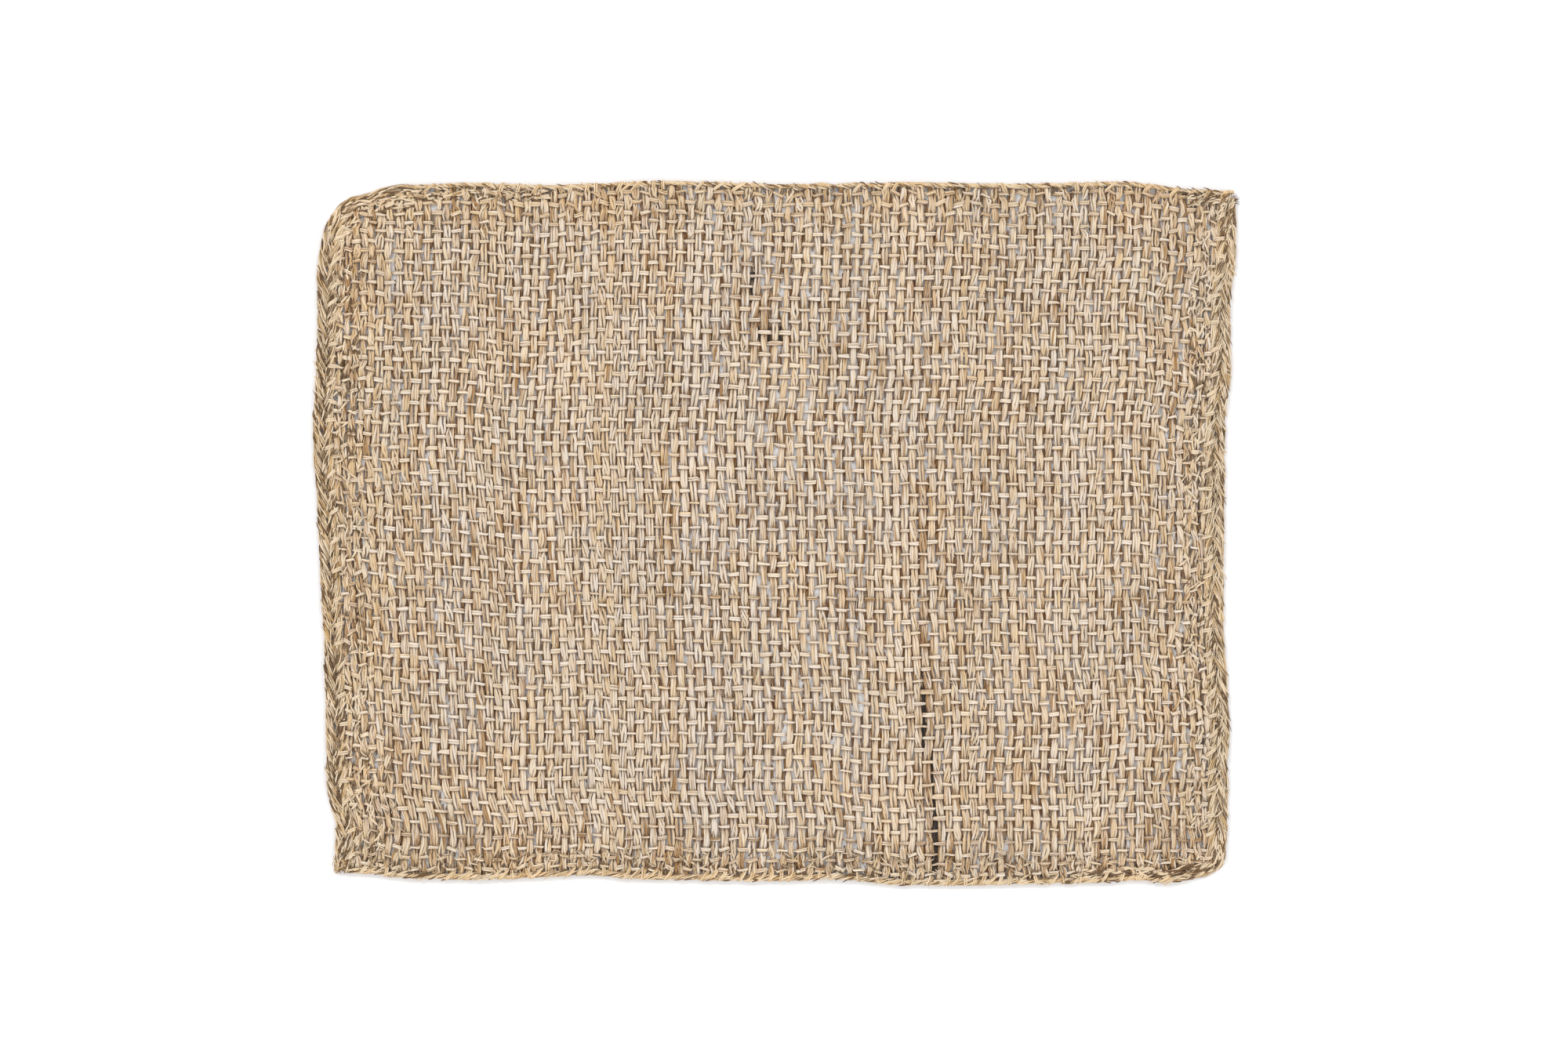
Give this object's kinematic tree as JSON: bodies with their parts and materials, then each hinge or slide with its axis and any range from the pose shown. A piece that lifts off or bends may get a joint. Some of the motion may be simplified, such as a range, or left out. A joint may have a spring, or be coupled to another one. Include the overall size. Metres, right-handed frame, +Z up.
{
  "type": "placemat",
  "caption": "Rectangular hand-woven natural-fibre placemat, open plain weave with plaited side edging and corded ends, lying flat on a table.",
  "frame": {"origin": "middle of the mat's outline, in the plane it lies on", "axes": "+X along the long side, to the right in use; +Y along the short side, away from the person at the table; +Z up out of the table, through the mat's thickness"},
  "size_m": [0.4652, 0.3546, 0.0032],
  "materials": {
    "cloth": "undyed straw-coloured plant-fibre yarn in open plain weave, dry and matt with a faint sheen along the fibres",
    "plait": "plaited straw-coloured plant-fibre strands, dry and matt",
    "cord": "twisted straw to golden-brown plant-fibre cord, dry and matt"
  },
  "bodies": {
    "root": {"woven_cloth": "cloth", "edge_plait_left": "plait", "edge_plait_right": "plait", "end_cord_top": "cord", "end_cord_bottom": "cord"}
  },
  "joints": []
}
